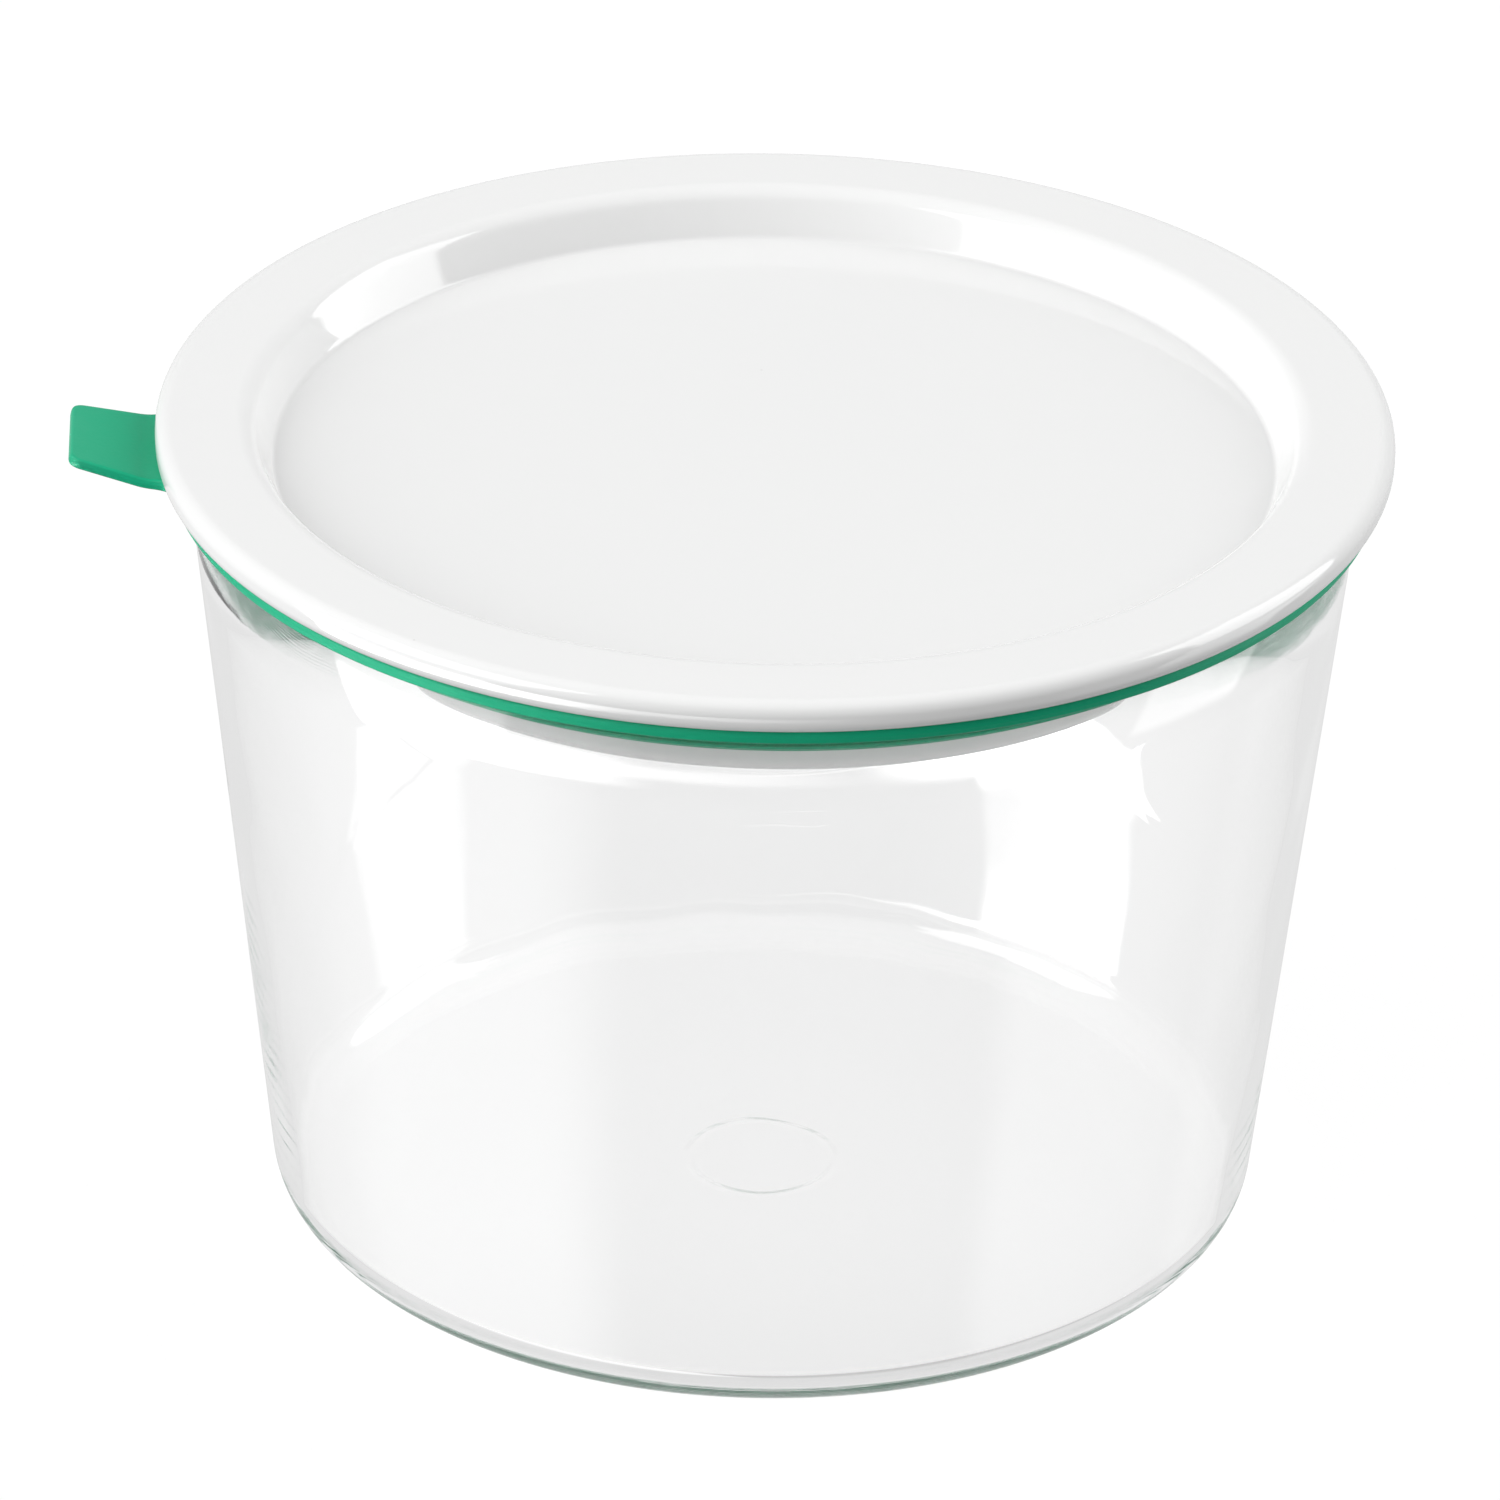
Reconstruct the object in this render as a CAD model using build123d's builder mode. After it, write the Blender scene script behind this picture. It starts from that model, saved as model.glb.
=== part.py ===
from build123d import *
import math
import os

# Storage bowl of clear glass, closed by a porcelain lid-plate that plugs into the mouth
# inside a silicone seal ring. All sizes in millimetres, +Z up, origin at the centre of
# the underside of the base, and the seal's pull tab points along -X.

# Driving dimensions: lid
overall_height = 125.5          # table to top of lid
lid_radius = 90.0               # lid over its rim
lid_edge_thickness = 4.9        # plate at its outer edge
lid_well_depth = 6.9            # rim top down to the sunken middle
lid_floor_thickness = 4.0
lid_rim_width = 13.8            # rim top, measured to the sharp corner of the slope
lid_slope_run = 3.2             # horizontal run of the slope into the well
plug_radius = 78.5              # outside of the foot ring under the lid
plug_draft = 0.5                # foot ring narrows by this much to its foot
foot_depth = 17.9               # top of lid to bottom of foot ring
foot_width = 4.8

# Driving dimensions: bowl
bowl_rim_radius = 85.6          # outside of the glass at its rim
bowl_base_radius = 72.4         # outside of the glass, its wall run on to the table
wall_thickness = 3.0
base_thickness = 3.2
base_corner_radius = 7.4        # outside corner between wall and base
floor_corner_radius = 4.6       # inside corner between wall and floor

# Driving dimensions: seal and tab
seal_flange_radius = 88.3       # just inside the lid's edge
seal_flange_thickness = 2.0
seal_wall_thickness = 2.0
seal_depth = 12.2               # top of lid to bottom of the seal's wall
lip_height = 1.4                # each of the two sealing lips, where it leaves the wall
lip_root_depth = 0.5            # how far a lip is buried in the wall it grows from
lower_lip_rise = 0.9            # seal's lower end to the middle of the lower lip
upper_lip_drop = 1.7            # flange to the middle of the upper lip
lip_tip_low = 0.1               # edges of a lip's tip above its middle, as shares of
lip_tip_high = 0.3              # the lip's height
tongue_overlap = 5.5            # how far the tab's tongue runs in under the flange's edge

tab_reach = 12.2                # tab tip beyond the lid's edge
tab_root_width = 22.4
tab_tip_width = 17.6
tab_thickness = 1.6
tab_rise = 14.0                 # degrees that the tab lifts towards its tip
tab_tip_corner = 1.8
tab_hinge_clearance = 1.5       # bending line beyond the lid's edge

seat_gap = 0.2                  # lid to seal flange, seal flange to glass
side_gap = 0.3                  # seal to lid plug, seal lips to glass

# Roundings
slope_foot_rounding = 0.9
slope_top_rounding = 3.2
edge_top_rounding = 2.2
edge_bottom_rounding = 1.9
foot_outer_rounding = 3.0
foot_inner_rounding = 1.4
plate_inner_rounding = 2.0
flange_rounding = 0.5
rim_rounding = 0.46 * wall_thickness
root_rounding = 0.48 * tab_thickness

# Heights and radii that follow from them
lid_underside = overall_height - lid_edge_thickness
well_floor = overall_height - lid_well_depth
plate_underside = well_floor - lid_floor_thickness
foot_bottom = overall_height - foot_depth
slope_top_radius = lid_radius - lid_rim_width
slope_foot_radius = slope_top_radius - lid_slope_run
foot_inner_radius = plug_radius - plug_draft - foot_width

flange_top = lid_underside - seat_gap
flange_bottom = flange_top - seal_flange_thickness
seal_bottom = overall_height - seal_depth
seal_inner_radius = plug_radius + side_gap
seal_outer_radius = seal_inner_radius + seal_wall_thickness

bowl_rim_height = flange_bottom - seat_gap
wall_lean = (bowl_rim_radius - bowl_base_radius) / bowl_rim_height

tab_hinge_radius = lid_radius + tab_hinge_clearance
tab_hinge_height = flange_top - seal_flange_thickness / 2
tab_angle = math.radians(tab_rise)
tab_length = (lid_radius + tab_reach - tab_hinge_radius) / math.cos(tab_angle)
tongue_start = seal_flange_radius - tongue_overlap
tongue_end = tab_hinge_radius - tab_thickness / 2 - side_gap

os.makedirs("parts", exist_ok=True)


def bowl_inner_radius(height):
    """Inside radius of the leaning glass wall at a height above the table."""
    return bowl_base_radius + wall_lean * height - wall_thickness


def nearest(section, radius, height):
    """The corner of a half section that lies nearest to a radius and height."""
    return section.vertices().sort_by_distance((radius, height, 0))[0]


# Glass bowl: leaning wall, flat base and a fire-polished rim, as one turned shape
floor_radius = bowl_inner_radius(base_thickness)
with BuildPart() as glass_bowl:
    with BuildSketch(Plane.XZ) as bowl_section:
        with BuildLine():
            Polyline(
                (0, 0),
                (bowl_base_radius, 0),
                (bowl_rim_radius, bowl_rim_height),
                (bowl_rim_radius - wall_thickness, bowl_rim_height),
                (floor_radius, base_thickness),
                (0, base_thickness),
                close=True,
            )
        make_face()
        fillet(nearest(bowl_section, bowl_base_radius, 0), base_corner_radius)
        fillet(nearest(bowl_section, floor_radius, base_thickness), floor_corner_radius)
        fillet(bowl_section.vertices().group_by(Axis.Y)[-1], rim_rounding)
    revolve(axis=Axis.Z)
glass_bowl.part.label = "glass_bowl"
export_step(glass_bowl.part, "parts/glass_bowl.step")


# Lid: a porcelain plate with a broad rim, a sunken flat middle and a foot ring below
with BuildPart() as lid:
    with BuildSketch(Plane.XZ) as lid_section:
        with BuildLine():
            Polyline(
                (0, well_floor),
                (slope_foot_radius, well_floor),
                (slope_top_radius, overall_height),
                (lid_radius, overall_height),
                (lid_radius, lid_underside),
                (plug_radius, lid_underside),
                (plug_radius - plug_draft, foot_bottom),
                (foot_inner_radius, foot_bottom),
                (foot_inner_radius - plug_draft, plate_underside),
                (0, plate_underside),
                close=True,
            )
        make_face()
        fillet(nearest(lid_section, slope_foot_radius, well_floor), slope_foot_rounding)
        fillet(nearest(lid_section, slope_top_radius, overall_height), slope_top_rounding)
        fillet(nearest(lid_section, lid_radius, overall_height), edge_top_rounding)
        fillet(nearest(lid_section, lid_radius, lid_underside), edge_bottom_rounding)
        fillet(nearest(lid_section, plug_radius, foot_bottom), foot_outer_rounding)
        fillet(nearest(lid_section, foot_inner_radius, foot_bottom), foot_inner_rounding)
        inner_corner = nearest(lid_section, foot_inner_radius - plug_draft, plate_underside)
        fillet(inner_corner, plate_inner_rounding)
    revolve(axis=Axis.Z)
lid.part.label = "lid"
export_step(lid.part, "parts/lid.step")


# Seal ring: a flange between lid and glass, a wall down the plug with two sealing lips,
# and a short tongue under the lid's edge that carries the pull tab
lip_heights = [seal_bottom + lower_lip_rise, flange_bottom - upper_lip_drop]
with BuildPart() as seal_ring:
    with BuildSketch(Plane.XZ) as seal_section:
        with BuildLine():
            Polyline(
                (seal_inner_radius, seal_bottom),
                (seal_outer_radius, seal_bottom),
                (seal_outer_radius, flange_bottom),
                (seal_flange_radius, flange_bottom),
                (seal_flange_radius, flange_top),
                (seal_inner_radius, flange_top),
                close=True,
            )
        make_face()
        fillet(seal_section.vertices().group_by(Axis.X)[-1], flange_rounding)
        for lip_middle in lip_heights:
            lip_root_radius = seal_outer_radius - lip_root_depth
            lip_tip_radius = bowl_inner_radius(lip_middle) - side_gap
            with BuildLine():
                Polyline(
                    (lip_root_radius, lip_middle - lip_height / 2),
                    (lip_tip_radius, lip_middle + lip_tip_low * lip_height),
                    (lip_tip_radius, lip_middle + lip_tip_high * lip_height),
                    (lip_root_radius, lip_middle + lip_height / 2),
                    close=True,
                )
            make_face()
    revolve(axis=Axis.Z)
    with BuildSketch(Plane.XY.offset(flange_bottom)):
        with Locations((-(tongue_start + tongue_end) / 2, 0)):
            Rectangle(tongue_end - tongue_start, tab_root_width)
    extrude(amount=seal_flange_thickness)
seal_ring.part.label = "seal_ring"
export_step(seal_ring.part, "parts/seal_ring.step")


# Pull tab: a tapering finger tab that bends about a line just outside the lid's edge,
# with its root rounded about that line
tab_plane = Plane(
    origin=(-tab_hinge_radius, 0, tab_hinge_height),
    x_dir=(-math.cos(tab_angle), 0, math.sin(tab_angle)),
    z_dir=(math.sin(tab_angle), 0, math.cos(tab_angle)),
)
tab_root = -tab_thickness / 2
with BuildPart() as pull_tab:
    with BuildSketch(tab_plane) as tab_outline:
        with BuildLine():
            Polyline(
                (tab_root, -tab_root_width / 2),
                (tab_length, -tab_tip_width / 2),
                (tab_length, tab_tip_width / 2),
                (tab_root, tab_root_width / 2),
                close=True,
            )
        make_face()
        fillet(tab_outline.vertices().group_by(Axis.X)[-1], tab_tip_corner)
    extrude(amount=tab_thickness / 2, both=True)
    root_edges = pull_tab.edges().filter_by(Axis.Y).sort_by(Axis.X)[-2:]
    fillet(root_edges, root_rounding)
pull_tab.part.label = "pull_tab"
export_step(pull_tab.part, "parts/pull_tab.step")
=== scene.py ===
import math

import bpy
from mathutils import Matrix, Vector


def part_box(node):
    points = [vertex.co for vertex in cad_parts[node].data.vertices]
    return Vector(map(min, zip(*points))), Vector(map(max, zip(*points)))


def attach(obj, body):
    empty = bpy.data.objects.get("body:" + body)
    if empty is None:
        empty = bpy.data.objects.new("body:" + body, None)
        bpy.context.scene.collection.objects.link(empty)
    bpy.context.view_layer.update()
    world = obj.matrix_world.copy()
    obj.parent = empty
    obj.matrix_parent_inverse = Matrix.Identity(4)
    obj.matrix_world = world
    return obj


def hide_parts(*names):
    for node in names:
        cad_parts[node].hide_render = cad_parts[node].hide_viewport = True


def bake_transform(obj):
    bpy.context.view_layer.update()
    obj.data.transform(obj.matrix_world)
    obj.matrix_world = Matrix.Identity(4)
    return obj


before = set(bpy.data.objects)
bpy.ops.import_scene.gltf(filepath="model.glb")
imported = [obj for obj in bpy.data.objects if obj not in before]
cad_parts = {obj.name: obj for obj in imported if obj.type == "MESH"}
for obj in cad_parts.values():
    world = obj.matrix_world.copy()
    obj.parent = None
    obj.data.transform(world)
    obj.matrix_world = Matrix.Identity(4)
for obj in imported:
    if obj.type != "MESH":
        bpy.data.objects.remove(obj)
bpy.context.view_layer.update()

MM = 0.001

# Sizes in millimetres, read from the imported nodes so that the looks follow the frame
lid_low, lid_high = (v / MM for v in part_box("lid"))
bowl_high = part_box("glass_bowl")[1] / MM
seal_low, seal_high = (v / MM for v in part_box("seal_ring"))
tab_low, tab_high = (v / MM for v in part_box("pull_tab"))

LID_TOP = lid_high.z
LID_RADIUS = lid_high.x
FOOT_BOTTOM = lid_low.z
RIM_HEIGHT = bowl_high.z
RIM_RADIUS = bowl_high.x
SEAL_TOP = seal_high.z
SEAL_BOTTOM = seal_low.z
SEAL_RADIUS = seal_high.x

COLUMNS = 384                  # steps round every turned piece
TINY = 1e-6                    # a length below this counts as nothing, in mm
SAME_POINT = 1e-5              # points closer than this are one point, in mm


# ---------------------------------------------------------------- geometry helpers

def rounded_path(corners, arc_step=7.5, run_step=4.0, guard=0.35):
    """Points along a chain of (radius, height, rounding) corners, with arcs at the corners,
    runs cut into short steps and a guard point close to each end of a run."""
    ends = []
    for i, (r, z, rounding) in enumerate(corners):
        here = Vector((r, z))
        if rounding <= 0 or i in (0, len(corners) - 1):
            ends.append([here])
            continue
        back = (Vector(corners[i - 1][:2]) - here).normalized()
        ahead = (Vector(corners[i + 1][:2]) - here).normalized()
        half = math.acos(max(-1.0, min(1.0, back.dot(ahead)))) / 2
        reach = rounding / math.tan(half)
        centre = here + (back + ahead).normalized() * rounding / math.sin(half)
        start = here + back * reach - centre
        turn = math.pi - 2 * half
        sign = 1 if start.cross(here + ahead * reach - centre) > 0 else -1
        steps = max(2, math.ceil(math.degrees(turn) / arc_step))
        arc = []
        for k in range(steps + 1):
            a = sign * turn * k / steps
            arc.append(centre + Vector((start.x * math.cos(a) - start.y * math.sin(a),
                                        start.x * math.sin(a) + start.y * math.cos(a))))
        ends.append(arc)
    points = []
    for i, arc in enumerate(ends):
        points += arc
        if i == len(ends) - 1:
            break
        a, b = arc[-1], ends[i + 1][0]
        length = (b - a).length
        if length < TINY:
            continue
        cuts = math.ceil(length / run_step)
        marks = [k * length / cuts for k in range(1, cuts)]
        if length > 4 * guard:
            marks = sorted([guard] + [m for m in marks if guard * 2 < m < length - guard * 2]
                           + [length - guard])
        points += [a.lerp(b, m / length) for m in marks]
    clean = [points[0]]
    for p in points[1:]:
        if (p - clean[-1]).length > SAME_POINT:
            clean.append(p)
    return clean


def smooth_object(name, vertices, faces):
    """A smooth-shaded mesh object from vertices in millimetres."""
    mesh = bpy.data.meshes.new(name)
    mesh.from_pydata([(x * MM, y * MM, z * MM) for x, y, z in vertices], [], faces)
    mesh.validate()
    mesh.polygons.foreach_set("use_smooth", [True] * len(mesh.polygons))
    mesh.update()
    obj = bpy.data.objects.new(name, mesh)
    bpy.context.scene.collection.objects.link(obj)
    return obj


def turned(name, profile, shape=None):
    """A closed body turned about Z. The profile runs from one point on the axis to another,
    outside on its right; shape(point index, angle, r, z) may nudge a point."""
    vertices, faces, rings = [], [], []
    for k, (r, z) in enumerate(profile):
        if r < TINY:
            rings.append([len(vertices)])
            vertices.append((0.0, 0.0, z))
            continue
        ring = []
        for i in range(COLUMNS):
            a = 2 * math.pi * i / COLUMNS
            rr, zz = shape(k, a, r, z) if shape else (r, z)
            ring.append(len(vertices))
            vertices.append((rr * math.cos(a), rr * math.sin(a), zz))
        rings.append(ring)
    for low, high in zip(rings, rings[1:]):
        for i in range(COLUMNS):
            j = (i + 1) % COLUMNS
            if len(low) == 1:
                faces.append((low[0], high[j], high[i]))
            elif len(high) == 1:
                faces.append((low[i], low[j], high[0]))
            else:
                faces.append((low[i], low[j], high[j], high[i]))
    return smooth_object(name, vertices, faces)


# ---------------------------------------------------------------- glass bowl

WALL = 3.0
BASE = 3.2                     # thickness of the base
BASE_RADIUS = 72.4             # the outer wall run on to the table
BASE_CORNER = 7.4              # rounding outside, between wall and base
FLOOR_CORNER = 4.6             # rounding inside, between wall and floor
LEAN = (RIM_RADIUS - BASE_RADIUS) / RIM_HEIGHT


def inner_radius(z):
    return BASE_RADIUS + LEAN * z - WALL


# Small press-mould ripples in the wall, as (height of ripple, turns round, turns per mm up, phase)
RIPPLES = [
    (0.050, 3, 0.030, 0.4), (0.036, 5, -0.052, 2.1), (0.024, 9, 0.075, 4.0),
    (0.015, 14, -0.120, 1.2), (0.009, 21, 0.190, 5.1), (0.006, 34, -0.260, 0.9),
]


def ripple(a, z):
    return sum(h * math.cos(n * a + k * z + p) for h, n, k, p in RIPPLES)


PUSH_UP = 0.3                  # the underside is hollowed a little, so it stands on a ring
HOLLOW = (34.0, 62.0)          # the hollow is full inside the first radius, gone at the second
HOLLOW_ROUNDINGS = (600.0, 200.0)
MARK_RADIUS = 11.0             # a plain moulded ring in the middle of the underside
MARK_HALF = 0.9                # half of the ring's width
MARK_DEPTH = 0.1
MARK_ROUNDING = 1.5
RIM_RISE = 8.5                 # the fire-polished rim is rounded over this height outside
RIM_FALL = 2.0                 # and over this height inside


def quarter(across, rise, middle, first, last, steps):
    """Points on an ellipse round the rim's crest, between two angles in degrees."""
    found = []
    for k in range(steps + 1):
        t = math.radians(first + (last - first) * k / steps)
        found.append(Vector((middle + across * math.cos(t),
                             RIM_HEIGHT - rise + rise * math.sin(t))))
    return found


outer_half = WALL / 2          # how far the rim's outer curve reaches out from its crest
outer_start_angle = -math.degrees(math.atan(LEAN * RIM_RISE / outer_half))
rim_from = RIM_HEIGHT - RIM_RISE * (1 + math.sin(math.radians(-outer_start_angle)))
crest = BASE_RADIUS + LEAN * rim_from - outer_half * math.cos(math.radians(outer_start_angle))
inner_guess = 1.3              # the same inside, near enough for the angle where the curve ends
inner_end_angle = 180 - math.degrees(math.atan(LEAN * RIM_FALL / inner_guess))
rim_to = RIM_HEIGHT - RIM_FALL * (1 - math.sin(math.radians(inner_end_angle)))
inner_half = (crest - inner_radius(rim_to)) / -math.cos(math.radians(inner_end_angle))
outside = rounded_path([
    (0.0, PUSH_UP, 0),
    (MARK_RADIUS - MARK_HALF, PUSH_UP, MARK_ROUNDING),
    (MARK_RADIUS, PUSH_UP + MARK_DEPTH, MARK_ROUNDING),
    (MARK_RADIUS + MARK_HALF, PUSH_UP, MARK_ROUNDING),
    (HOLLOW[0], PUSH_UP, HOLLOW_ROUNDINGS[0]),
    (HOLLOW[1], 0.0, HOLLOW_ROUNDINGS[1]),
    (BASE_RADIUS, 0.0, BASE_CORNER),
    (BASE_RADIUS + LEAN * rim_from, rim_from, 0),
], arc_step=6.0, run_step=3.0)
inside = rounded_path([
    (inner_radius(rim_to), rim_to, 0),
    (inner_radius(BASE), BASE, FLOOR_CORNER),
    (0.0, BASE, 0),
], arc_step=6.0, run_step=3.0)
bowl_profile = (outside[:-1]
                + quarter(outer_half, RIM_RISE, crest, outer_start_angle, 90, 16)
                + quarter(inner_half, RIM_FALL, crest, 90, inner_end_angle, 12)[1:]
                + inside[1:])
rim_index = max(range(len(bowl_profile)), key=lambda k: bowl_profile[k].y)

WALL_FROM = 60.0               # points nearer the axis than this are base, not wall
RIPPLES_START = (6.0, 20.0)    # heights between which the ripples fade in
RIPPLES_END = (102.0, 112.0)   # heights between which they fade out
OUTSIDE_SHARE = 0.25           # the ripples outside, against those inside
OUTSIDE_TURN = 1.7             # how far they are turned from those inside
OUTSIDE_SET_BACK = 0.02        # keeps the outside within the CAD bowl


def share(value, low, high):
    return max(0.0, min(1.0, (value - low) / (high - low)))


def bowl_shape(k, a, r, z):
    """Ripples in the wall, faded out towards the rim and the base; the outside has less."""
    if r < WALL_FROM or z < RIPPLES_START[0]:
        return r, z
    fade = share(z, *RIPPLES_START) * share(-z, -RIPPLES_END[1], -RIPPLES_END[0])
    if k < rim_index:
        outside_ripple = OUTSIDE_SHARE * ripple(a + OUTSIDE_TURN, z)
        return r + fade * (outside_ripple - OUTSIDE_SET_BACK), z
    return r + fade * ripple(a, z), z


bowl = turned("bowl_clear_glass", bowl_profile, bowl_shape)
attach(bowl, "bowl")
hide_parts("glass_bowl")


# ---------------------------------------------------------------- porcelain lid

WELL_FLOOR = LID_TOP - 6.9
PLATE_UNDERSIDE = WELL_FLOOR - 4.0
LID_UNDERSIDE = LID_TOP - 4.9
FOOT_OUTER = 78.5              # outside of the foot ring where it leaves the lid
FOOT_INNER = 72.7              # its inside there
FOOT_DRAFT = 0.5               # each side comes in by this much at the foot
SLOPE_TOP = 76.2               # corner between the rim and the slope into the well
SLOPE_FOOT = 73.0              # corner between the slope and the well
lid_profile = rounded_path([   # the third number of each corner is its rounding
    (0.0, PLATE_UNDERSIDE, 0),
    (FOOT_INNER, PLATE_UNDERSIDE, 2.0),
    (FOOT_INNER + FOOT_DRAFT, FOOT_BOTTOM, 1.4),
    (FOOT_OUTER - FOOT_DRAFT, FOOT_BOTTOM, 3.0),
    (FOOT_OUTER, LID_UNDERSIDE, 0.5),
    (LID_RADIUS, LID_UNDERSIDE, 1.9),
    (LID_RADIUS, LID_TOP, 2.2),
    (SLOPE_TOP, LID_TOP, 3.2),
    (SLOPE_FOOT, WELL_FLOOR, 0.9),
    (0.0, WELL_FLOOR, 0),
], arc_step=6.0, run_step=4.0)
lid = turned("lid_glazed_porcelain", lid_profile)
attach(lid, "lid")
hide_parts("lid")


# ---------------------------------------------------------------- silicone seal and tab

FLANGE = 2.0                   # thickness of the flange
EDGE = 0.5                     # rounding of the flange's and the tab's edges
SEAL_INNER = 78.8
SEAL_OUTER = 80.8
LIP_GAP = 0.35                 # tip of a lip to the glass
LIP_ROOT = (-0.7, 0.75)        # lower and upper edge of a lip at its root, from its middle
LIP_TIP = (0.1, 0.45)          # the same at its tip
LOWER_LIP = SEAL_BOTTOM + 0.95
FINE = {"arc_step": 15.0, "run_step": 1.2, "guard": 0.15}
PARTING_HALF = 0.12            # half of the mould parting line's width
PARTING_PROUD = 0.05           # how far the line stands out
HALF = FLANGE / 2


def lip(middle):
    tip = inner_radius(middle) - LIP_GAP
    return [(SEAL_OUTER, middle + LIP_ROOT[0], 0.2), (tip, middle + LIP_TIP[0], 0.13),
            (tip, middle + LIP_TIP[1], 0.13), (SEAL_OUTER, middle + LIP_ROOT[1], 0.2)]


flange_bottom = SEAL_TOP - FLANGE
upper_lip = flange_bottom - 1.65
flange_end = SEAL_RADIUS - EDGE   # where the rounding of the flange's edge starts
seal_profile = rounded_path(
    [(SEAL_INNER, flange_bottom, 0), (SEAL_INNER, SEAL_BOTTOM, 0.35),
     (SEAL_OUTER, SEAL_BOTTOM, 0.35)]
    + lip(LOWER_LIP) + lip(upper_lip)
    + [(SEAL_OUTER, flange_bottom, 0.25), (flange_end, flange_bottom, 0)], **FINE)
edge_rows = []
for k in range(7):
    a = math.radians(-90 + 15 * k)
    edge_rows.append((EDGE * math.cos(a), -HALF + EDGE + EDGE * math.sin(a)))
edge_rows += [(EDGE, -PARTING_HALF), (EDGE + PARTING_PROUD, 0.0), (EDGE, PARTING_HALF)]
for k in range(7):
    a = math.radians(15 * k)
    edge_rows.append((EDGE * math.cos(a), HALF - EDGE + EDGE * math.sin(a)))
MIDDLE = SEAL_TOP - HALF
outer_start = len(seal_profile) - 1
seal_profile += [Vector((flange_end + out, MIDDLE + up)) for out, up in edge_rows[1:]]
outer_end = len(seal_profile) - 1
seal_profile += rounded_path(
    [(flange_end, SEAL_TOP, 0), (SEAL_INNER, SEAL_TOP, 0.3),
     (SEAL_INNER, flange_bottom, 0)], **FINE)[1:-1]

TAB_TIP_X = tab_low.x
ROOT_HALF = tab_high.y         # half of the tab's width at its root
TIP_HALF = 8.8                 # and at its tip
TAB_RISE = math.radians(14.0)
TAB_THICKNESS = 1.6
TIP_CORNER = 1.8
BEND_START = 2.0               # the tab starts to rise this far past the flange
BEND_LENGTH = 2.6              # and is straight again after this much more
FLARE = 1.1                    # the root is wider by this much on each side
FLARE_LENGTH = 2.4
THINNING = 2.5                 # the flange's thickness eases into the tab's over this length
across = 30                    # steps across the tab
root_half = ROOT_HALF - EDGE + FLARE
u_steps = [-1 + 2 * i / across for i in range(across + 1)]
tab_angles = [math.pi + math.asin(u * root_half / flange_end) for u in u_steps]
free = COLUMNS - across
gap_angle = 2 * math.pi - (tab_angles[-1] - tab_angles[0])
angles = tab_angles + [tab_angles[-1] + gap_angle * i / free for i in range(1, free)]
columns = len(angles)
rows = len(seal_profile)
vertices = [(p.x * math.cos(a), p.x * math.sin(a), p.y) for p in seal_profile for a in angles]
faces = []
for k in range(rows):
    n = (k + 1) % rows
    for i in range(columns):
        j = (i + 1) % columns
        if outer_start <= k < outer_end and i < across:
            continue           # the tab grows out of here
        faces.append((k * columns + i, k * columns + j, n * columns + j, n * columns + i))


def tab_line(s):
    """Centre line of the tab: distance past the flange edge to (x, z, direction)."""
    radius = BEND_LENGTH / TAB_RISE
    if s <= BEND_START:
        return -flange_end - s, MIDDLE, 0.0
    t = min(s - BEND_START, BEND_LENGTH)
    a = t / radius
    x = -flange_end - BEND_START - radius * math.sin(a)
    z = MIDDLE + radius * (1 - math.cos(a))
    rest = s - BEND_START - t
    return x - rest * math.cos(a), z + rest * math.sin(a), a


TIP_INSET = 0.06               # the tip stops this short of the CAD tab's
LOWER_CORNER = 0.2             # share of the end face's lean that counts towards its reach
low, high = 0.0, 40.0
for _ in range(40):            # halve the range until the length brings the tip there
    total = (low + high) / 2
    x, z, a = tab_line(total)
    if x - TAB_THICKNESS / 2 * math.sin(a) * LOWER_CORNER > TAB_TIP_X + TIP_INSET:
        low = total
    else:
        high = total

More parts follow.
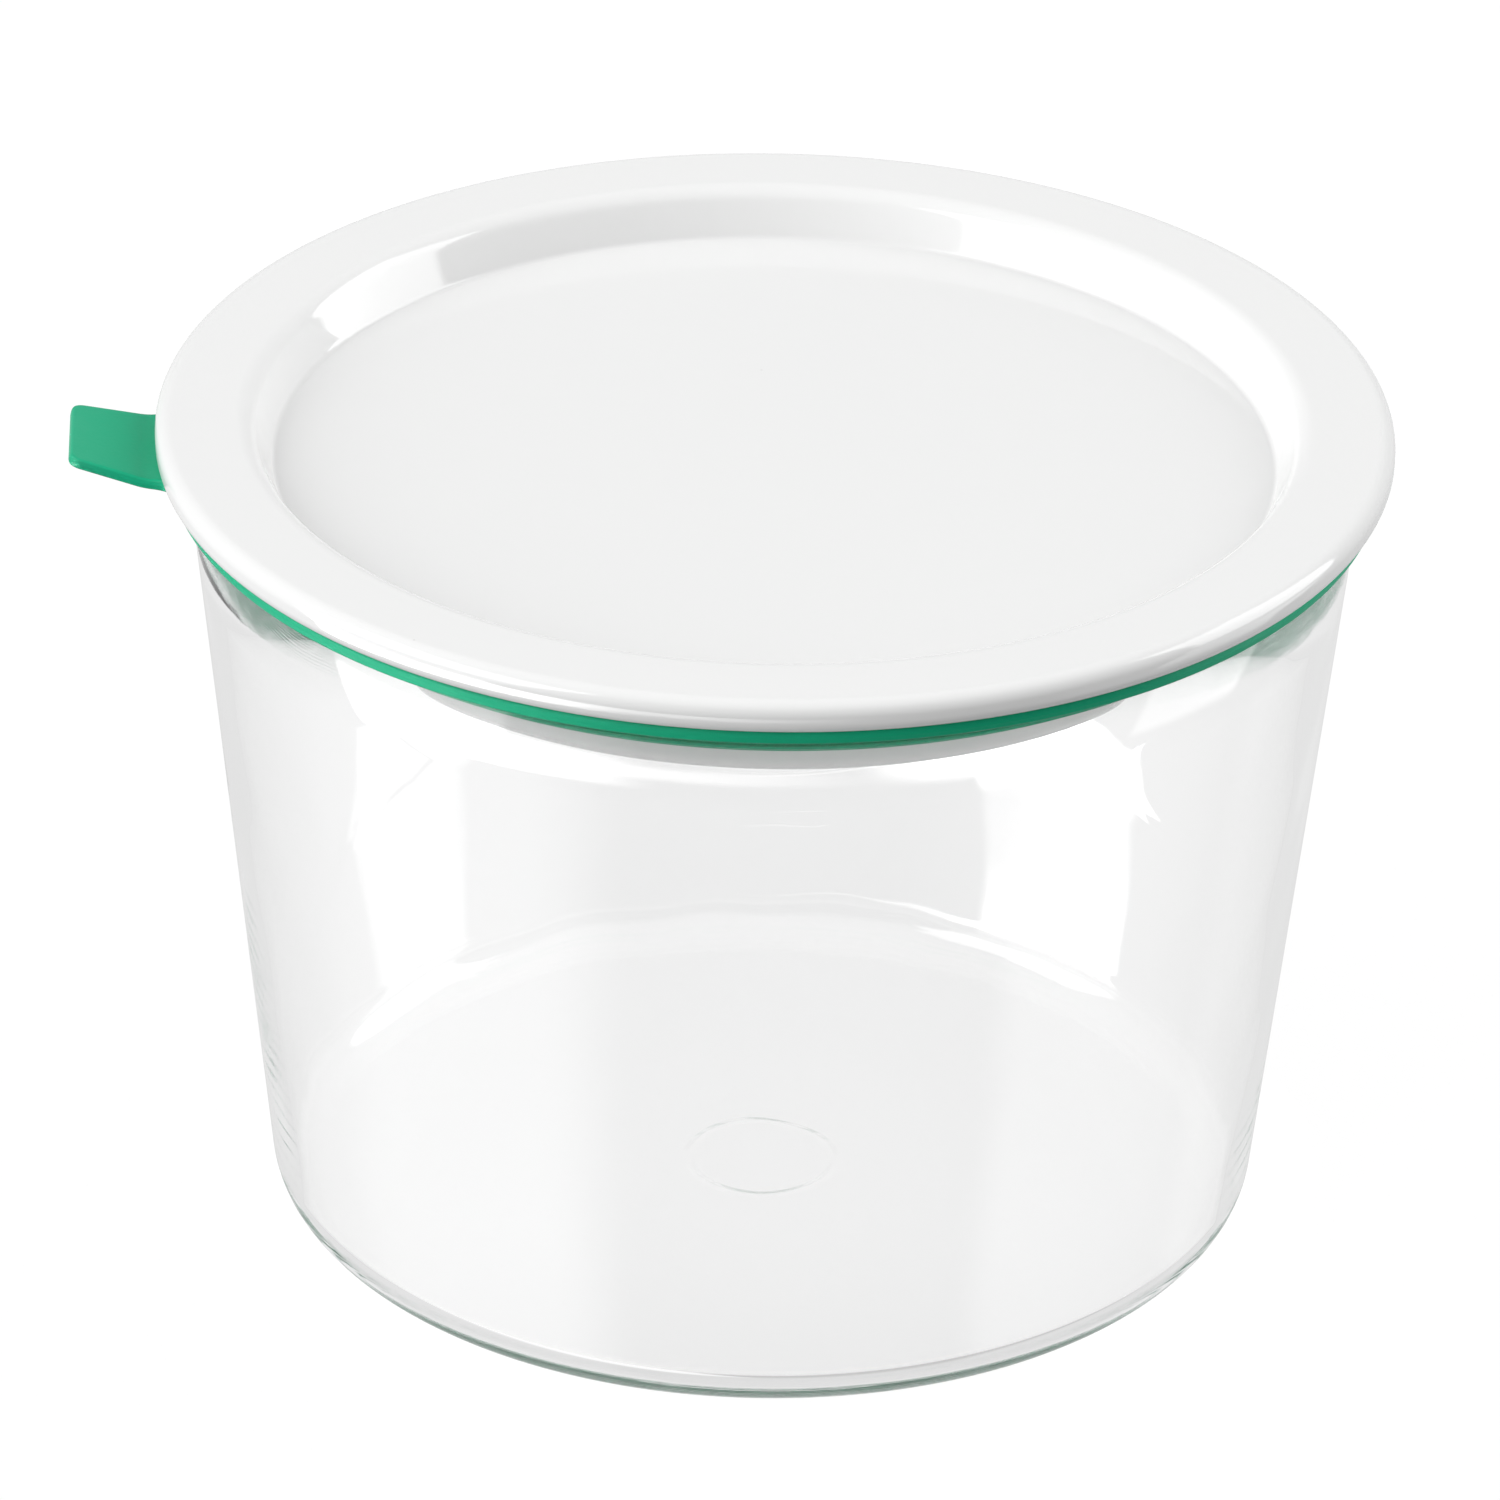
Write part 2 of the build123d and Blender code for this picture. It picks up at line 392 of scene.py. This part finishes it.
# Cross-sections of the tab: distances from the flange, then distances back from the tip
tip_marks = [2.4, 1.8, 1.5, 1.2, 0.95, 0.72, 0.5, 0.38, 0.27, 0.17, 0.09, 0.03, 0.0]
stations = [0.35, 0.7, 1.1, 1.6, 2.2, 2.8, 3.4, 4.0, 4.6, 5.4, 6.4, 7.4, 8.4, 9.4, 10.4, 11.2]
stations = [s for s in stations if s < total - tip_marks[0] - 0.3]
stations += [total - m for m in tip_marks]
start_loop = ([outer_start * columns + i for i in range(across + 1)]
              + [k * columns + across for k in range(outer_start + 1, outer_end)]
              + [outer_end * columns + i for i in range(across, -1, -1)]
              + [k * columns for k in range(outer_end - 1, outer_start, -1)])
loops = [start_loop]
side = edge_rows[1:-1]
for s in stations:
    x, z, a = tab_line(s)
    left = total - s
    half = ROOT_HALF + (TIP_HALF - ROOT_HALF) * min(1.0, s / total) - EDGE
    half += FLARE * max(0.0, 1 - s / FLARE_LENGTH) ** 2.2
    if left < TIP_CORNER:
        half -= TIP_CORNER - math.sqrt(TIP_CORNER ** 2 - (TIP_CORNER - left) ** 2)
    thick = FLANGE + (TAB_THICKNESS - FLANGE) * min(1.0, s / THINNING)
    if left < EDGE:
        thick -= 2 * (EDGE - math.sqrt(EDGE ** 2 - (EDGE - left) ** 2))
    bow = max(0.0, 1 - s / THINNING)
    out, up = Vector((-math.cos(a), 0, math.sin(a))), Vector((math.sin(a), 0, math.cos(a)))
    centre = Vector((x, 0, z))

    def at(y, rise):
        """A point of this cross-section; the first ones still follow the flange's curve."""
        sagitta = (flange_end - math.sqrt(flange_end ** 2 - y ** 2)) * bow
        return centre + up * (rise * thick / FLANGE) + Vector((sagitta, y, 0))

    ring = [at(-u * half, -HALF) for u in u_steps]
    ring += [at(-half - side_out, side_up) for side_out, side_up in side]
    ring += [at(-u * half, HALF) for u in reversed(u_steps)]
    ring += [at(half + side_out, side_up) for side_out, side_up in reversed(side)]
    loops.append([len(vertices) + i for i in range(len(ring))])
    vertices += [tuple(p) for p in ring]
for near, far in zip(loops, loops[1:]):
    count = len(near)
    for i in range(count):
        j = (i + 1) % count
        faces.append((near[i], near[j], far[j], far[i]))
# End face: rows between the bottom and the top run of the last loop
last = loops[-1]
levels = len(side) + 2
bottom = last[:across + 1]
right = last[across:across + levels]
top = list(reversed(last[across + levels - 1:2 * across + levels]))
left_side = [last[0]] + list(reversed(last[2 * across + levels:])) + [top[0]]
grid = [bottom]
for k in range(1, levels - 1):
    a, b = Vector(vertices[left_side[k]]), Vector(vertices[right[k]])
    row = [left_side[k]]
    for i in range(1, across):
        row.append(len(vertices))
        vertices.append(tuple(a.lerp(b, i / across)))
    grid.append(row + [right[k]])
grid.append(top)
for low_row, high_row in zip(grid, grid[1:]):
    for i in range(across):
        faces.append((low_row[i], low_row[i + 1], high_row[i + 1], high_row[i]))

seal = smooth_object("seal_green_silicone", vertices, faces)
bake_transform(seal)
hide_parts("seal_ring", "pull_tab")


# ---------------------------------------------------------------- node helpers

def new_tree(holder):
    holder.use_nodes = True
    tree = holder.node_tree
    tree.nodes.clear()
    return tree


def put(tree, kind, **values):
    """A node with its properties (plain names) and inputs (names or indices) set or linked."""
    made = tree.nodes.new(kind)
    inputs = values.pop("inputs", {})
    for name, value in values.items():
        setattr(made, name, value)
    for name, value in inputs.items():
        if isinstance(value, bpy.types.NodeSocket):
            tree.links.new(value, made.inputs[name])
        else:
            made.inputs[name].default_value = value
    return made


def calc(tree, operation, *values):
    made = put(tree, "ShaderNodeMath", operation=operation, inputs=dict(enumerate(values)))
    return made.outputs[0]


def ramp(tree, value, low, high, to_low=0.0, to_high=1.0):
    """A smooth step from to_low, where the value is low, to to_high, where it is high."""
    made = put(tree, "ShaderNodeMapRange", interpolation_type="SMOOTHSTEP",
               inputs={0: value, 1: low, 2: high, 3: to_low, 4: to_high})
    return made.outputs[0]


def blend_values(tree, factor, a, b):
    made = put(tree, "ShaderNodeMix", data_type="FLOAT", inputs={0: factor, 2: a, 3: b})
    return made.outputs[0]


def blend_colours(tree, factor, a, b):
    made = put(tree, "ShaderNodeMix", data_type="RGBA", inputs={0: factor, 6: a, 7: b})
    return made.outputs[2]


def noise(tree, where, scale, detail=2.0, rough=0.5):
    made = put(tree, "ShaderNodeTexNoise",
               inputs={"Vector": where, "Scale": scale, "Detail": detail, "Roughness": rough})
    return made.outputs["Fac"]


def material(name):
    """A new material, its tree, its shader and the object coordinates its patterns use."""
    made = bpy.data.materials.new(name)
    tree = new_tree(made)
    shader = tree.nodes.new("ShaderNodeBsdfPrincipled")
    out = tree.nodes.new("ShaderNodeOutputMaterial")
    tree.links.new(shader.outputs[0], out.inputs[0])
    where = tree.nodes.new("ShaderNodeTexCoord").outputs["Object"]
    return made, tree, shader, where


def bump(tree, height, distance, normal=None):
    inputs = {"Height": height, "Distance": distance, "Strength": 1.0}
    if normal is not None:
        inputs["Normal"] = normal
    return put(tree, "ShaderNodeBump", inputs=inputs).outputs[0]


# ---------------------------------------------------------------- materials

# Clear glass: wipe marks in the roughness, faint ripples in the normal
glass, tree, shader, where = material("clear_glass")
smears = noise(tree, where, 38.0, 4.0, 0.6)
shader.inputs["Transmission Weight"].default_value = 1.0
shader.inputs["IOR"].default_value = 1.5
tint = blend_colours(tree, smears, (0.998, 0.998, 0.998, 1), (0.996, 0.9965, 0.996, 1))
tree.links.new(tint, shader.inputs["Base Color"])
tree.links.new(ramp(tree, smears, 0.45, 0.75, 0.0, 0.035), shader.inputs["Roughness"])
tree.links.new(bump(tree, noise(tree, where, 60.0, 1.0), 0.00003), shader.inputs["Normal"])
bowl.data.materials.append(glass)

# Glazed porcelain: clear glaze over a white body, bare biscuit under the foot ring
porcelain, tree, shader, where = material("white_porcelain")
split = put(tree, "ShaderNodeSeparateXYZ", inputs={0: where})
clouds = noise(tree, where, 14.0, 3.0)
body = blend_colours(tree, clouds, (0.865, 0.868, 0.866, 1), (0.885, 0.886, 0.882, 1))
speck = put(tree, "ShaderNodeTexVoronoi",
            inputs={"Vector": where, "Scale": 60.0, "Randomness": 1.0})
speck_draw = put(tree, "ShaderNodeSeparateColor", inputs={0: speck.outputs["Color"]})
rare = calc(tree, "GREATER_THAN", speck_draw.outputs[0], 0.80)
dot = calc(tree, "MULTIPLY", rare, ramp(tree, speck.outputs["Distance"], 0.016, 0.006))
body = blend_colours(tree, calc(tree, "MULTIPLY", dot, 0.22), body, (0.30, 0.27, 0.24, 1))
foot_z = FOOT_BOTTOM * MM
glaze_ends = (foot_z + 0.0007, foot_z + 0.0004)
bare = ramp(tree, split.outputs[2], *glaze_ends)
grain = noise(tree, where, 900.0, 3.0)
body = blend_colours(tree, bare, body, (0.78, 0.76, 0.72, 1))
tree.links.new(body, shader.inputs["Base Color"])
tree.links.new(blend_values(tree, bare, 0.32, 0.85), shader.inputs["Roughness"])
tree.links.new(calc(tree, "SUBTRACT", 1.0, bare), shader.inputs["Coat Weight"])
shader.inputs["Coat Roughness"].default_value = 0.03
shader.inputs["Coat IOR"].default_value = 1.5
shader.inputs["Specular IOR Level"].default_value = 0.0
peel = bump(tree, noise(tree, where, 160.0, 2.0), 0.000012)
tree.links.new(bump(tree, calc(tree, "MULTIPLY", grain, bare), 0.0001, normal=peel),
               shader.inputs["Normal"])
tree.links.new(peel, shader.inputs["Coat Normal"])
lid.data.materials.append(porcelain)

# Green silicone: satin, a little paler towards the tab's tip
silicone, tree, shader, where = material("green_silicone")
split = put(tree, "ShaderNodeSeparateXYZ", inputs={0: where})
clouds = noise(tree, where, 45.0, 3.0)
green = blend_colours(tree, clouds, (0.003, 0.400, 0.205, 1), (0.005, 0.440, 0.230, 1))
tip_paling_from = -0.094           # the tab turns paler from here towards its tip
tip_paling_to = -0.103
tip_paling = calc(tree, "MULTIPLY", ramp(tree, split.outputs[0], tip_paling_from, tip_paling_to), 0.35)
tip_paling = calc(tree, "MULTIPLY", tip_paling, noise(tree, where, 220.0, 4.0, 0.6))
green = blend_colours(tree, tip_paling, green, (0.07, 0.46, 0.29, 1))
tree.links.new(green, shader.inputs["Base Color"])
shader.inputs["Specular IOR Level"].default_value = 0.26
skin = noise(tree, where, 1400.0, 2.0)
tree.links.new(ramp(tree, clouds, 0.3, 0.7, 0.38, 0.50), shader.inputs["Roughness"])
tree.links.new(bump(tree, skin, 0.00002), shader.inputs["Normal"])
seal.data.materials.append(silicone)


# ---------------------------------------------------------------- floor, light and camera

# Strengths of light are against 1 for the white that the camera sees directly
THROUGH_GLASS = 0.96           # the backdrop seen through the bowl
MIXED_LIGHT = 0.85             # what is left in a ray that has been mirrored about
FLOOR_HALF = 6.0               # half of the floor's side, in metres
FLOOR_Z = -0.0001              # just under the bowl, in metres
FLOOR_GREY = 0.04              # lets the bowl's own shade show on the floor
FLOOR_GLOW = 0.975
PAINTED_POOL_LIGHT = 0.078              # painted light: a brighter pool on the floor under the bowl, fading towards the front
FLOOR_TO_DULL = 0.207          # what the floor sends to porcelain and silicone


def reflected_share(tree, path):
    """Two masks: mirrored at least once and now in glass or glaze, and mirrored at all."""
    glossy = calc(tree, "MAXIMUM", path.outputs["Is Glossy Ray"],
                  path.outputs["Is Transmission Ray"])
    bounced = calc(tree, "GREATER_THAN", path.outputs["Glossy Depth"], 0.5)
    return calc(tree, "MULTIPLY", glossy, bounced), bounced


def often_mirrored(tree, path):
    """1 for a ray that has been mirrored two times or more, which carries only mixed light."""
    return calc(tree, "GREATER_THAN", path.outputs["Glossy Depth"], 1.5)


floor_mesh = bpy.data.meshes.new("floor")
floor_mesh.from_pydata([(x * FLOOR_HALF, y * FLOOR_HALF, FLOOR_Z)
                        for x, y in ((-1, -1), (1, -1), (1, 1), (-1, 1))],
                       [], [(0, 1, 2, 3)])
floor = bpy.data.objects.new("floor", floor_mesh)
bpy.context.scene.collection.objects.link(floor)
pale = bpy.data.materials.new("pale_floor")
tree = new_tree(pale)
path = put(tree, "ShaderNodeLightPath")
seen_in_gloss, _ = reflected_share(tree, path)
diffuse = put(tree, "ShaderNodeBsdfDiffuse", inputs={"Color": (FLOOR_GREY,) * 3 + (1,)})
spot = put(tree, "ShaderNodeSeparateXYZ",
           inputs={0: put(tree, "ShaderNodeTexCoord").outputs["Object"]})
away = calc(tree, "SQRT", calc(tree, "ADD", calc(tree, "POWER", spot.outputs[0], 2.0),
                               calc(tree, "POWER", spot.outputs[1], 2.0)))
# Painted light: a pool of extra glow on the floor under the base, strongest towards the back and
# dimmer towards the front
under_base = ramp(tree, away, 0.085, 0.066)
towards_back = ramp(tree, spot.outputs[1], -0.085, -0.01, 0.1, 1.0)
painted_pool = calc(tree, "MULTIPLY", under_base, towards_back)
level = calc(tree, "MULTIPLY_ADD", painted_pool, PAINTED_POOL_LIGHT, FLOOR_GLOW)
level = calc(tree, "MULTIPLY", level,
             blend_values(tree, path.outputs["Is Camera Ray"], THROUGH_GLASS, 1.0))
bright = blend_values(tree, path.outputs["Is Diffuse Ray"], level, FLOOR_TO_DULL)
glow = put(tree, "ShaderNodeEmission", inputs={"Color": (1, 1, 1, 1), "Strength": bright})
lit = put(tree, "ShaderNodeAddShader", inputs={0: diffuse.outputs[0], 1: glow.outputs[0]})
clear = put(tree, "ShaderNodeBsdfTransparent")
shown = put(tree, "ShaderNodeMixShader",
            inputs={0: seen_in_gloss, 1: lit.outputs[0], 2: clear.outputs[0]})
put(tree, "ShaderNodeOutputMaterial", inputs={0: shown.outputs[0]})
pale.cycles.emission_sampling = "NONE"
floor_mesh.materials.append(pale)

TURN = -2.3                    # the camera's azimuth past -90, in degrees

world = bpy.data.worlds.new("studio")
bpy.context.scene.world = world
tree = new_tree(world)
direction = put(tree, "ShaderNodeTexCoord").outputs["Generated"]
path = put(tree, "ShaderNodeLightPath")
axes = put(tree, "ShaderNodeSeparateXYZ", inputs={0: direction})
elevation = calc(tree, "DEGREES", calc(tree, "ARCSINE", axes.outputs[2]))


def bearing(centre):
    """Degrees round from a compass direction, from -180 to 180."""
    turned_way = put(tree, "ShaderNodeVectorRotate", rotation_type="Z_AXIS",
                     inputs={"Vector": direction, "Angle": -math.radians(centre + TURN)})
    part = put(tree, "ShaderNodeSeparateXYZ", inputs={0: turned_way.outputs[0]})
    return calc(tree, "DEGREES", calc(tree, "ARCTAN2", part.outputs[1], part.outputs[0]))


def facing_share(centre):
    """1 towards a compass direction, 0 square to it and -1 away from it."""
    return calc(tree, "COSINE", calc(tree, "RADIANS", bearing(centre)))


def panel(bearings, heights, tilts=(0.0, 0.0), soft=1.5):
    """Mask of a softbox between two bearings and two heights, all in degrees. Each upright
    edge leans by its tilt in degrees per degree up, and soft is half an edge's blur."""
    centre = sum(bearings) / 2
    b = bearing(centre)
    low_at = calc(tree, "MULTIPLY_ADD", elevation, tilts[0], bearings[0] - centre)
    high_at = calc(tree, "MULTIPLY_ADD", elevation, tilts[1], bearings[1] - centre)
    inside = calc(tree, "MULTIPLY",
                  ramp(tree, calc(tree, "SUBTRACT", b, low_at), -soft, soft),
                  ramp(tree, calc(tree, "SUBTRACT", high_at, b), -soft, soft))
    bottom, top = heights
    height = calc(tree, "MULTIPLY", ramp(tree, elevation, bottom - soft, bottom + soft),
                  ramp(tree, elevation, top + soft, top - soft))
    return calc(tree, "MULTIPLY", inside, height)


# What the glaze and the glass mirror. First the pale room, with a dark gap by the camera
dark = calc(tree, "MULTIPLY", ramp(tree, facing_share(-68.0), 0.1, 0.7),
            ramp(tree, elevation, 60.0, 38.0))
room = blend_values(tree, ramp(tree, elevation, -6.0, 14.0), 0.75, 0.6)
gap = ramp(tree, elevation, -58.0, -44.0, 0.6, 0.05)
mirrored = blend_values(tree, dark, room, gap)

# Then the softboxes' light on the table, and the table's glow along the front
table_left = panel((162.0, 227.0), (-90.0, -34.0), soft=12.0)
table_right = panel((-34.0, 28.0), (-90.0, -19.0), soft=6.0)
low_glow = calc(tree, "MULTIPLY", panel((178.0, 310.0), (-29.0, -24.5)),
                ramp(tree, bearing(275.0), 25.0, -25.0))
left_low = calc(tree, "MULTIPLY", panel((178.0, 260.0), (-33.0, -22.0)),
                ramp(tree, bearing(228.0), 22.0, -22.0))
mirrored = blend_values(tree, table_left, mirrored, 1.05)
mirrored = blend_values(tree, table_right, mirrored, 0.6)
mirrored = blend_values(tree, low_glow, mirrored, 4.0)
mirrored = blend_values(tree, left_low, mirrored, 20.0)

# Then the two softboxes, each brighter towards its foot and its top than at eye level
left_box = panel((178.0, 222.5), (-22.0, 48.0), tilts=(0.0, 0.25))
right_box = panel((-11.0, 25.0), (-28.0, 48.0), tilts=(0.1, 0.35))
left_foot = ramp(tree, elevation, -22.0, -18.0, 20.0, 3.2)
left_top = ramp(tree, elevation, 8.0, 15.0, 1.4, 5.0)
right_foot = 2.4
right_top = ramp(tree, elevation, 0.0, 4.0, 1.4, 4.5)
above_table = ramp(tree, elevation, -8.0, -4.0)
left_light = blend_values(tree, above_table, left_foot, left_top)
right_light = blend_values(tree, above_table, right_foot, right_top)
mirrored = blend_values(tree, left_box, mirrored, left_light)
mirrored = blend_values(tree, right_box, mirrored, right_light)

# What lights the dull surfaces: the same room, smoothed
front = ramp(tree, facing_share(-66.0), -0.2, 0.8)
front_light = ramp(tree, elevation, 15.0, 35.0, 0.032, 0.383)
left_soft = panel((164.0, 252.0), (-20.0, 54.6), soft=9.0)
right_soft = panel((-7.0, 39.0), (-20.0, 54.6), soft=9.0)
dull = blend_values(tree, front, 0.32, front_light)
dull = blend_values(tree, ramp(tree, elevation, 35.0, 70.0), dull, 0.614)
dull = blend_values(tree, left_soft, dull, 2.67)
dull = blend_values(tree, right_soft, dull, 3.34)

# Which of them a ray gets follows from how it came here
in_gloss, bounced = reflected_share(tree, path)
mirrored = blend_values(tree, often_mirrored(tree, path), mirrored, MIXED_LIGHT)
strength = blend_values(tree, in_gloss, dull, mirrored)
straight = calc(tree, "MULTIPLY", path.outputs["Is Transmission Ray"],
                calc(tree, "SUBTRACT", 1.0, bounced))
strength = blend_values(tree, straight, strength, THROUGH_GLASS)
strength = blend_values(tree, path.outputs["Is Camera Ray"], strength, 1.0)
background = put(tree, "ShaderNodeBackground",
                 inputs={"Color": (1, 1, 1, 1), "Strength": strength})
put(tree, "ShaderNodeOutputWorld", inputs={0: background.outputs[0]})

camera_data = bpy.data.cameras.new("camera")
camera_data.lens = 297.6
camera_data.sensor_width = 36.0
camera_data.clip_start = 0.05
camera_data.clip_end = 50.0
camera = bpy.data.objects.new("camera", camera_data)
bpy.context.scene.collection.objects.link(camera)
DISTANCE = 1.8                 # camera to the centre of the lid's top, in metres
LOOK_DOWN = math.radians(26.63)
ROLL = math.radians(1.07)
AIM = Vector((-0.031, 0, -0.6135))   # where it looks, from there, in lid radii
top_centre = Vector((0, 0, LID_TOP * MM))
place = top_centre + Vector((0, -DISTANCE * math.cos(LOOK_DOWN), DISTANCE * math.sin(LOOK_DOWN)))
target = top_centre + AIM * LID_RADIUS * MM
ahead = (target - place).normalized()
right_way = ahead.cross(Vector((0, 0, 1))).normalized()
up_way = right_way.cross(ahead)
rolled_right = right_way * math.cos(ROLL) + up_way * math.sin(ROLL)
rolled_up = up_way * math.cos(ROLL) - right_way * math.sin(ROLL)
facing = Matrix((rolled_right, rolled_up, -ahead)).transposed().to_4x4()
camera.matrix_world = (Matrix.Rotation(math.radians(TURN), 4, "Z")
                       @ Matrix.Translation(place) @ facing)
bpy.context.scene.camera = camera

scene = bpy.context.scene
scene.view_settings.view_transform = "Standard"
scene.view_settings.look = "None"
scene.cycles.use_denoising = True
BOUNCES = 160                  # light runs far inside the glass wall before it gets out
scene.cycles.max_bounces = BOUNCES
scene.cycles.transmission_bounces = BOUNCES
scene.cycles.glossy_bounces = BOUNCES
scene.cycles.transparent_max_bounces = 8
scene.cycles.sample_clamp_indirect = 12.0
